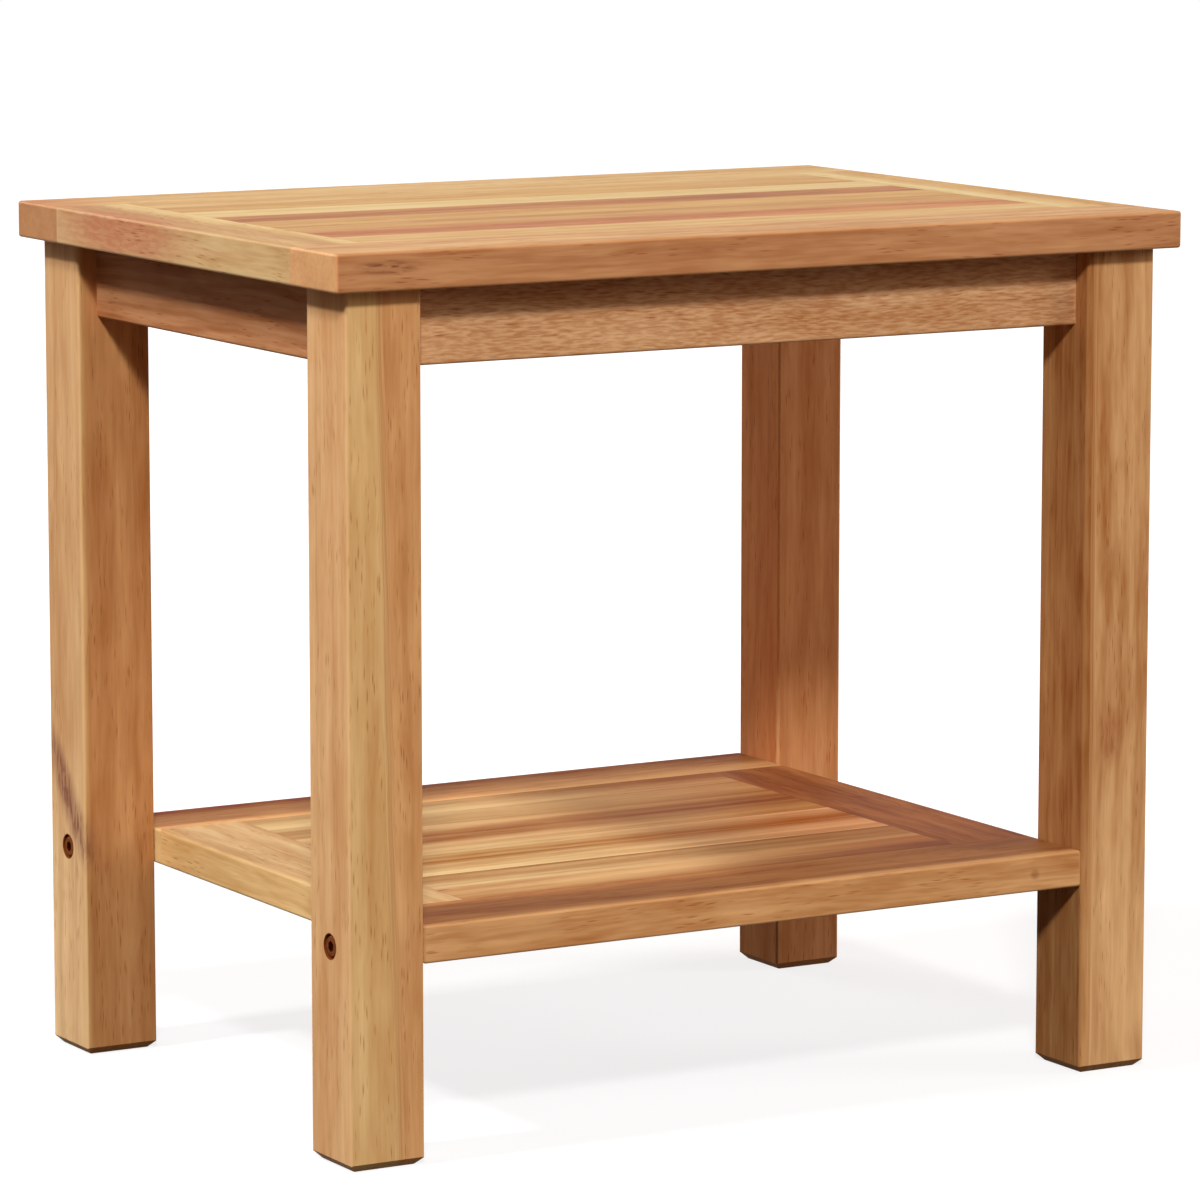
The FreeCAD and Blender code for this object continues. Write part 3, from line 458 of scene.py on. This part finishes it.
oilBoard("leg_rear_left", "z", 43, "cinnamon", "honey", secondSide=(0, 0, 1), secondStart=18, secondBlur=2,
         knot=(-78, -0.8, 20), knotSize=(40, 11, 8), knotLean=-0.7, knotDepth=0.8, knotGrit=0.4,
         vein="#7A4038", faceSide=(-1, 0, 0), faceTint="#F8EEF8", paleFoot=0.8, **leg)
# painted light and shade: a pale wood lights the left face, a grey tint darkens the front, and the arrises
# get a strong painted highlight
oilBoard("leg_rear_right", "z", 44, "peach", faceSide=(0, -1, 0), faceTint="#E9EAEA", wear=0.9,
         wearLight=0.3, **leg)
longApron = {"wave": 16.0, "streakDepth": 0.3, "fleckLength": 8.0, "fleckWidth": 1.1, "fleckDepth": 0.8,
             "poreDepth": 0.65, "wear": 0.3}
shortApron = {"wave": 16.0, "streakLength": 120.0, "streakWidth": 5.0, "streakDepth": 0.8,
              "fleckDepth": 0.2, "wear": 0.3}
oilBoard("apron_front", "x", 51, "fawn", **longApron)
oilBoard("apron_rear", "x", 52, "copper", **longApron)
oilBoard("apron_left", "y", 53, "clay", **shortApron)
oilBoard("apron_right", "y", 54, "copper", **shortApron)
for number, corner in enumerate(("front_left", "front_right", "rear_left", "rear_right"), 61):
    slant = "backslant" if corner in ("front_left", "rear_right") else "slant"
    oilBoard(f"corner_block_{corner}", slant, number, "gold", wear=0)
print("acacia on", len(bpy.data.materials), "boards")


# a plain material with a blotchy tint and gloss, the blotches given in metres
def blotchedMaterial(name, look):
    material, tree = newMaterial(name)
    where = addNode(tree, "ShaderNodeTexCoord")
    blotch = addNode(tree, "ShaderNodeTexNoise", {"Vector": where.outputs["Object"],
                                                  "Scale": 1 / look["blotch"], "Detail": look["detail"]})
    first, second = [toLinear(colour) for colour in look["colours"]]
    tint = addNode(tree, "ShaderNodeMix", {"Factor": blotch, "A": first, "B": second}, data_type="RGBA")
    smooth, coarse = look["roughness"]
    gloss = addNode(tree, "ShaderNodeMapRange", {"Value": blotch, "To Min": smooth, "To Max": coarse})
    shader = addNode(tree, "ShaderNodeBsdfPrincipled", {"Base Color": tint, "Roughness": gloss,
                                                        **look["shader"]})
    addNode(tree, "ShaderNodeOutputMaterial", {"Surface": shader})
    return material


# Zinc-plated steel: cold grey, satin, with a faint blotchy crystal
zincLook = {"blotch": 0.0025, "detail": 3, "colours": ("#C9CCCD", "#A4A9AE"), "roughness": (0.26, 0.46),
            "shader": {"Metallic": 1}}
zincSteel = blotchedMaterial("zincPlatedSteel", zincLook)

# Bronze-plated steel: dark red-brown, satin, rubbed a little lighter in places
bronzeLook = {"blotch": 0.002, "detail": 3, "colours": ("#4C220F", "#7A4222"), "roughness": (0.5, 0.3),
              "shader": {"Metallic": 1, "Specular Tint": toLinear("#E0CCC0")}}
bronzeSteel = blotchedMaterial("bronzePlatedSteel", bronzeLook)

# Beech, turned and unfinished: pale pinkish brown with short dark flecks
beechLook = {"blotch": 0.0012, "detail": 2, "colours": ("#DDBB93", "#BE926A"), "roughness": (0.6, 0.75),
             "shader": {}}
beech = blotchedMaterial("turnedBeech", beechLook)
for nodeName, material in (("apron_dowels", beech), ("shelf_inserts", zincSteel)):
    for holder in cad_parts[nodeName].material_slots:
        holder.material = material


# fasteners: each tree shapes one along Z from its seat and sets it on points that carry an aim
def newShape(name, sizes):
    tree = bpy.data.node_groups.new(name, "GeometryNodeTree")
    tree.interface.new_socket("Geometry", in_out="INPUT", socket_type="NodeSocketGeometry")
    for size in sizes:
        tree.interface.new_socket(size, in_out="INPUT", socket_type="NodeSocketFloat")
    tree.interface.new_socket("Geometry", in_out="OUTPUT", socket_type="NodeSocketGeometry")
    return tree, addNode(tree, "NodeGroupInput").outputs


# a bar from start up along Z, its radius following a profile, with a thread if it has a pitch
def turnBar(tree, start, length, radius, profile, steps=24, around=40, pitch=0):
    bar = addNode(tree, "GeometryNodeMeshCylinder", {"Vertices": around, "Side Segments": steps,
                                                     "Radius": radius, "Depth": length})
    spot = addNode(tree, "ShaderNodeSeparateXYZ", {0: addNode(tree, "GeometryNodeInputPosition")}).outputs
    share = addNode(tree, "ShaderNodeMath", {0: spot[2], 1: length}, operation="DIVIDE")
    share = addNode(tree, "ShaderNodeMath", {0: share, 1: 0.5}, operation="ADD", use_clamp=True)
    girth = addNode(tree, "ShaderNodeFloatCurve", {"Value": share})
    curve = girth.mapping.curves[0]
    curve.points[0].location, curve.points[1].location = profile[0], profile[-1]
    for point in profile[1:-1]:
        curve.points.new(*point)
    for point in curve.points:
        point.handle_type = "VECTOR"
    girth.mapping.update()
    if pitch:
        angle = addNode(tree, "ShaderNodeMath", {0: spot[1], 1: spot[0]}, operation="ARCTAN2")
        climb = addNode(tree, "ShaderNodeMath", {0: spot[2], 1: pitch}, operation="DIVIDE")
        climb = addNode(tree, "ShaderNodeMath", {0: angle, 1: 0.5 / math.pi, 2: climb},
                        operation="MULTIPLY_ADD")
        groove = addNode(tree, "ShaderNodeMath", {0: climb, 1: 0.5}, operation="PINGPONG")
        groove = addNode(tree, "ShaderNodeMath", {0: groove, 1: -0.36, 2: 1}, operation="MULTIPLY_ADD")
        girth = addNode(tree, "ShaderNodeMath", {0: girth, 1: groove}, operation="MULTIPLY")
    x = addNode(tree, "ShaderNodeMath", {0: spot[0], 1: girth}, operation="MULTIPLY")
    y = addNode(tree, "ShaderNodeMath", {0: spot[1], 1: girth}, operation="MULTIPLY")
    z = addNode(tree, "ShaderNodeMath", {0: share, 1: length, 2: start}, operation="MULTIPLY_ADD")
    shaped = addNode(tree, "ShaderNodeCombineXYZ", {0: x, 1: y, 2: z})
    return addNode(tree, "GeometryNodeSetPosition", {"Geometry": bar, "Position": shaped})


# sets the shape on the points, turns it along their aim and makes it solid metal
def setOnPoints(tree, points, shape, material):
    aim = addNode(tree, "GeometryNodeInputNamedAttribute", {"Name": "aim"}, data_type="FLOAT_VECTOR")
    turn = addNode(tree, "FunctionNodeAlignRotationToVector", {"Vector": aim}, axis="Z")
    many = addNode(tree, "GeometryNodeInstanceOnPoints",
                   {"Points": points, "Instance": shape, "Rotation": turn})
    real = addNode(tree, "GeometryNodeRealizeInstances", {"Geometry": many})
    smooth = addNode(tree, "GeometryNodeSetShadeSmooth", {"Geometry": real, "Shade Smooth": True})
    corner = addNode(tree, "GeometryNodeInputMeshEdgeAngle")
    corner = addNode(tree, "ShaderNodeMath", {0: corner, 1: math.radians(32)}, operation="GREATER_THAN")
    sharp = addNode(tree, "GeometryNodeSetShadeSmooth", {"Geometry": smooth, "Selection": corner,
                    "Shade Smooth": False}, domain="EDGE")
    done = addNode(tree, "GeometryNodeSetMaterial", {"Geometry": sharp, "Material": material})
    addNode(tree, "NodeGroupOutput", {"Geometry": done})


def placeFasteners(name, tree, sizes, spots):
    mesh = bpy.data.meshes.new(name + "Points")
    mesh.from_pydata([[c / 1000 for c in place] for place, aim in spots], [], [])
    aims = mesh.attributes.new("aim", "FLOAT_VECTOR", "POINT")
    for entry, (place, aim) in zip(aims.data, spots):
        entry.vector = aim
    maker = bpy.data.objects.new(name + "Maker", mesh)
    bpy.context.collection.objects.link(maker)
    modifier = maker.modifiers.new("shape", "NODES")
    modifier.node_group = tree
    for item in tree.interface.items_tree:
        if item.in_out == "INPUT" and item.name in sizes:
            modifier[item.identifier] = sizes[item.name] / 1000
    graph = bpy.context.evaluated_depsgraph_get()
    piece = bpy.data.objects.new(name + "_metal",
                                 bpy.data.meshes.new_from_object(maker.evaluated_get(graph)))
    maker.modifiers.remove(modifier)
    bpy.data.objects.remove(maker)
    bpy.context.collection.objects.link(piece)
    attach(piece, "root")
    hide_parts(name)
    print(name, len(spots), "made,", len(piece.data.polygons), "faces")


bothWays = (-1, 1)
corners = [(x, y) for x in bothWays for y in bothWays]
# where a head or a leg's face meets each fastener in mm, in the rear right quarter
seats = {"bolt": (229.5, 149.5, 109.5), "top": (119.06, 149.5, 411), "longApron": (159.06, 134, 411.5),
         "shortApron": (199, 94.06, 411.5), "hanger": (194, 129, 411.5)}
boreLength = 0.04   # metres, reaches through washers and nuts
threadSteps = 5   # to one turn


def seatAt(name, x, y):
    right, rear, up = seats[name]
    return x * right, y * rear, up


# button-head bolts through the legs into the shelf: a domed rim and a hexagon socket
shelfBolt = {"Head radius": 6, "Head height": 5, "Shank radius": 3, "Shank length": 53.5,
             "Socket radius": 2.887, "Socket depth": 2}
tree, given = newShape("shelfBolt", shelfBolt)
under = addNode(tree, "ShaderNodeMath", {0: given["Head height"], 1: -1}, operation="MULTIPLY")
head = turnBar(tree, under, given["Head height"], given["Head radius"],
               [(0, 0.78), (0.06, 0.86), (0.16, 0.93), (0.32, 0.98), (0.5, 1), (1, 1)])
twice = addNode(tree, "ShaderNodeMath", {0: given["Socket depth"], 1: 2}, operation="MULTIPLY")
socket = addNode(tree, "GeometryNodeMeshCylinder", {"Vertices": 6, "Radius": given["Socket radius"],
                                                    "Depth": twice})
lift = addNode(tree, "ShaderNodeCombineXYZ", {2: under})
socket = addNode(tree, "GeometryNodeTransform", {"Geometry": socket, "Translation": lift})
head = addNode(tree, "GeometryNodeMeshBoolean", {"Mesh 1": head, "Mesh 2": socket}, operation="DIFFERENCE",
               solver="EXACT")
shank = turnBar(tree, 0, given["Shank length"], given["Shank radius"], [(0, 1), (0.98, 1), (1, 0.8)])
bolt = addNode(tree, "GeometryNodeJoinGeometry", {"Geometry": [head, shank]})
setOnPoints(tree, given["Geometry"], bolt, bronzeSteel)
placeFasteners("shelf_bolts", tree, shelfBolt,
               [(seatAt("bolt", x, y), (-x, 0, 0)) for x, y in corners])

# pan-head wood screws with a cross recess
for name, grip, spots in (
        ("top_screws", 20, [(seatAt("top", x, y), (0, 0, 1)) for x in (-1, 0, 1) for y in bothWays]),
        ("apron_screws", 6, [(seatAt("longApron", x, y), (0, y, 0)) for x, y in corners]
         + [(seatAt("shortApron", x, y), (x, 0, 0)) for x, y in corners])):
    woodScrew = {"Head radius": 3.5, "Head height": 2.5, "Shank radius": 1.75, "Shank length": grip + 12,
                 "Slot length": 4, "Slot width": 0.9, "Slot depth": 1.2}
    tree, given = newShape(name[:-1] + "Shape", woodScrew)
    under = addNode(tree, "ShaderNodeMath", {0: given["Head height"], 1: -1}, operation="MULTIPLY")
    head = turnBar(tree, under, given["Head height"], given["Head radius"],
                   [(0, 0.62), (0.1, 0.8), (0.25, 0.91), (0.45, 0.98), (0.6, 1), (1, 1)])
    twice = addNode(tree, "ShaderNodeMath", {0: given["Slot depth"], 1: 2}, operation="MULTIPLY")
    lift = addNode(tree, "ShaderNodeCombineXYZ", {2: under})
    slots = []
    for sides in (("Slot length", "Slot width"), ("Slot width", "Slot length")):
        size = addNode(tree, "ShaderNodeCombineXYZ", {0: given[sides[0]], 1: given[sides[1]], 2: twice})
        cut = addNode(tree, "GeometryNodeMeshCube", {"Size": size})
        slots.append(addNode(tree, "GeometryNodeTransform", {"Geometry": cut, "Translation": lift}))
    head = addNode(tree, "GeometryNodeMeshBoolean", {"Mesh 1": head, "Mesh 2": slots},
                   operation="DIFFERENCE", solver="EXACT")
    shank = turnBar(tree, 0, given["Shank length"], given["Shank radius"], [(0, 1), (0.84, 1), (1, 0.12)])
    screw = addNode(tree, "GeometryNodeJoinGeometry", {"Geometry": [head, shank]})
    setOnPoints(tree, given["Geometry"], screw, zincSteel)
    placeFasteners(name, tree, woodScrew, spots)

# hanger bolts from the legs through the corner blocks, with washers and chamfered nuts
hangerSpots = [(seatAt("hanger", x, y), (-x * 0.70711, -y * 0.70711, 0)) for x, y in corners]
stud = {"Start": -25, "Length": 58.6, "Radius": 3, "Pitch": 1.25}
tree, given = newShape("hangerStud", stud)
bar = turnBar(tree, given["Start"], given["Length"], given["Radius"],
              [(0, 0.4), (0.06, 1), (0.985, 1), (1, 0.8)],
              steps=int(stud["Length"] / stud["Pitch"] * threadSteps), around=24, pitch=given["Pitch"])
setOnPoints(tree, given["Geometry"], bar, zincSteel)
placeFasteners("hanger_bolts", tree, stud, hangerSpots)

washer = {"Start": 24, "Thickness": 1.6, "Radius": 7, "Bore": 3.15}
tree, given = newShape("flatWasher", washer)
disc = turnBar(tree, given["Start"], given["Thickness"], given["Radius"],
               [(0, 0.96), (0.2, 1), (0.8, 1), (1, 0.96)], steps=8)
bore = turnBar(tree, 0, boreLength, given["Bore"], [(0, 1), (1, 1)], steps=1)
disc = addNode(tree, "GeometryNodeMeshBoolean", {"Mesh 1": disc, "Mesh 2": bore}, operation="DIFFERENCE",
               solver="EXACT")
setOnPoints(tree, given["Geometry"], disc, zincSteel)
placeFasteners("hanger_washers", tree, washer, hangerSpots)

nut = {"Start": 25.6, "Thickness": 5, "Corner radius": 5.77, "Bore": 3.1}
tree, given = newShape("hexNut", nut)
block = turnBar(tree, given["Start"], given["Thickness"], given["Corner radius"], [(0, 1), (1, 1)], steps=1,
                around=6)
trim = turnBar(tree, given["Start"], given["Thickness"], given["Corner radius"],
               [(0, 0.88), (0.14, 1), (0.86, 1), (1, 0.88)], steps=14, around=48)
block = addNode(tree, "GeometryNodeMeshBoolean", {0: [block, trim]}, operation="INTERSECT", solver="EXACT")
bore = turnBar(tree, 0, boreLength, given["Bore"], [(0, 1), (1, 1)], steps=1)
block = addNode(tree, "GeometryNodeMeshBoolean", {"Mesh 1": block, "Mesh 2": bore}, operation="DIFFERENCE",
                solver="EXACT")
setOnPoints(tree, given["Geometry"], block, zincSteel)
placeFasteners("hanger_nuts", tree, nut, hangerSpots)

# soft studio light: a key beside the camera, a softbox on the left, a fill on the right and one behind
softboxes = {
    "key": {"azimuth": -30, "elevation": 36.3, "distance": 6.0, "size": 0.6, "level": 0.68},
    "left": {"azimuth": -90, "elevation": 48, "distance": 5.6, "size": 0.5, "level": 0.63},
    "fill": {"azimuth": 60, "elevation": 20, "distance": 6.0, "size": 2.0, "level": 0.36},
    "rear": {"azimuth": 195, "elevation": 18, "distance": 6.0, "size": 2.4, "level": 0.35},
}
aim = Vector((0, 0, 0.25))
for name, box in softboxes.items():
    turn, rise = math.radians(box["azimuth"]), math.radians(box["elevation"])
    back = Vector((math.sin(turn) * math.cos(rise), -math.cos(turn) * math.cos(rise), math.sin(rise)))
    lamp = bpy.data.lights.new(name, "AREA")
    lamp.size = box["size"]
    # level is what a white card that faces the lamp gives back
    lamp.energy = box["level"] * (math.pi * box["distance"]) ** 2
    holder = bpy.data.objects.new(name, lamp)
    holder.location = aim + back * box["distance"]
    holder.rotation_euler = back.to_track_quat("Z", "Y").to_euler()
    bpy.context.collection.objects.link(holder)

# white world to the eye and in reflections; as a lamp a dim warm glow, strongest low on the right
worldGlow = {"colour": (0.5, 0.3, 0.22), "overhead": 0.25, "left": 0.35, "leftFrom": -0.9, "rightFrom": 0.2}
world = bpy.data.worlds.new("studio")
bpy.context.scene.world = world
world.use_nodes = True
tree = world.node_tree
tree.nodes.clear()
rays = addNode(tree, "ShaderNodeLightPath").outputs
seen = addNode(tree, "ShaderNodeMath", {0: rays["Is Camera Ray"], 1: rays["Is Glossy Ray"]},
               operation="MAXIMUM")
seen = addNode(tree, "ShaderNodeMath", {0: seen, 1: rays["Is Transmission Ray"]}, operation="MAXIMUM")
where = addNode(tree, "ShaderNodeTexCoord")
heading = addNode(tree, "ShaderNodeSeparateXYZ", {0: where.outputs["Generated"]}).outputs
glow = addNode(tree, "ShaderNodeMapRange", {"Value": heading[2], "To Min": 1,
                                            "To Max": worldGlow["overhead"]})
right = addNode(tree, "ShaderNodeMapRange", {"Value": heading[0], "From Min": worldGlow["leftFrom"],
                                             "From Max": worldGlow["rightFrom"],
                                             "To Min": worldGlow["left"], "To Max": 1})
glow = addNode(tree, "ShaderNodeMath", {0: glow, 1: right}, operation="MULTIPLY")
warm = addNode(tree, "ShaderNodeVectorMath", {0: worldGlow["colour"], "Scale": glow}, operation="SCALE")
tint = addNode(tree, "ShaderNodeMix", {"Factor": seen, "A": warm, "B": (1, 1, 1, 1)}, data_type="RGBA")
sky = addNode(tree, "ShaderNodeBackground", {"Color": tint, "Strength": 1})
addNode(tree, "ShaderNodeOutputWorld", {"Surface": sky})

# pale floor: white to the eye but for the table's own shadow, a quiet grey as a reflector (sizes in metres)
floorLook = {"half": 8, "near": 0.45, "far": 0.9, "nearGlow": 0.8, "shadowed": 0.25, "dull": 0.06}
floorMesh = bpy.data.meshes.new("floor")
edge = floorLook["half"]
floorMesh.from_pydata([(-edge, -edge, 0), (edge, -edge, 0), (edge, edge, 0), (-edge, edge, 0)], [],
                      [(0, 1, 2, 3)])
floor = bpy.data.objects.new("floor", floorMesh)
bpy.context.collection.objects.link(floor)
floorPaint, tree = newMaterial("paleFloor")
rays = addNode(tree, "ShaderNodeLightPath").outputs
seen = addNode(tree, "ShaderNodeMath", {0: rays["Is Camera Ray"], 1: rays["Is Glossy Ray"]},
               operation="MAXIMUM")
seen = addNode(tree, "ShaderNodeMath", {0: seen, 1: rays["Is Transmission Ray"]}, operation="MAXIMUM")
where = addNode(tree, "ShaderNodeTexCoord")
far = addNode(tree, "ShaderNodeVectorMath", {0: where.outputs["Object"]}, operation="LENGTH")
glow = addNode(tree, "ShaderNodeMapRange", {"Value": far, "From Min": floorLook["near"],
                                            "From Max": floorLook["far"], "To Min": floorLook["nearGlow"],
                                            "To Max": 1}, interpolation_type="SMOOTHSTEP")
white = addNode(tree, "ShaderNodeEmission", {"Color": (1, 1, 1, 1), "Strength": glow})
shadowed = addNode(tree, "ShaderNodeBsdfDiffuse", {"Color": (*[floorLook["shadowed"]] * 3, 1)})
eyeLook = addNode(tree, "ShaderNodeAddShader", {0: white, 1: shadowed})
dull = addNode(tree, "ShaderNodeBsdfDiffuse", {"Color": (*[floorLook["dull"]] * 3, 1)})
paint = addNode(tree, "ShaderNodeMixShader", {0: seen, 1: dull, 2: eyeLook})
addNode(tree, "ShaderNodeOutputMaterial", {"Surface": paint})
floorMesh.materials.append(floorPaint)

# camera: long lens, a little above the top, on the left of the front
cameraSettings = {"place": (-1.5544, -2.6842, 0.7075), "tilt": 8.517, "turn": -30.135, "lens": 179.49,
                  "sensor": 36}
cameraData = bpy.data.cameras.new("camera")
cameraData.lens = cameraSettings["lens"]
cameraData.sensor_width = cameraSettings["sensor"]
camera = bpy.data.objects.new("camera", cameraData)
camera.location = cameraSettings["place"]
camera.rotation_euler = (math.radians(90 - cameraSettings["tilt"]), 0, math.radians(cameraSettings["turn"]))
bpy.context.collection.objects.link(camera)
bpy.context.scene.camera = camera
bpy.context.scene.view_settings.view_transform = "Standard"
print("studio and camera set")
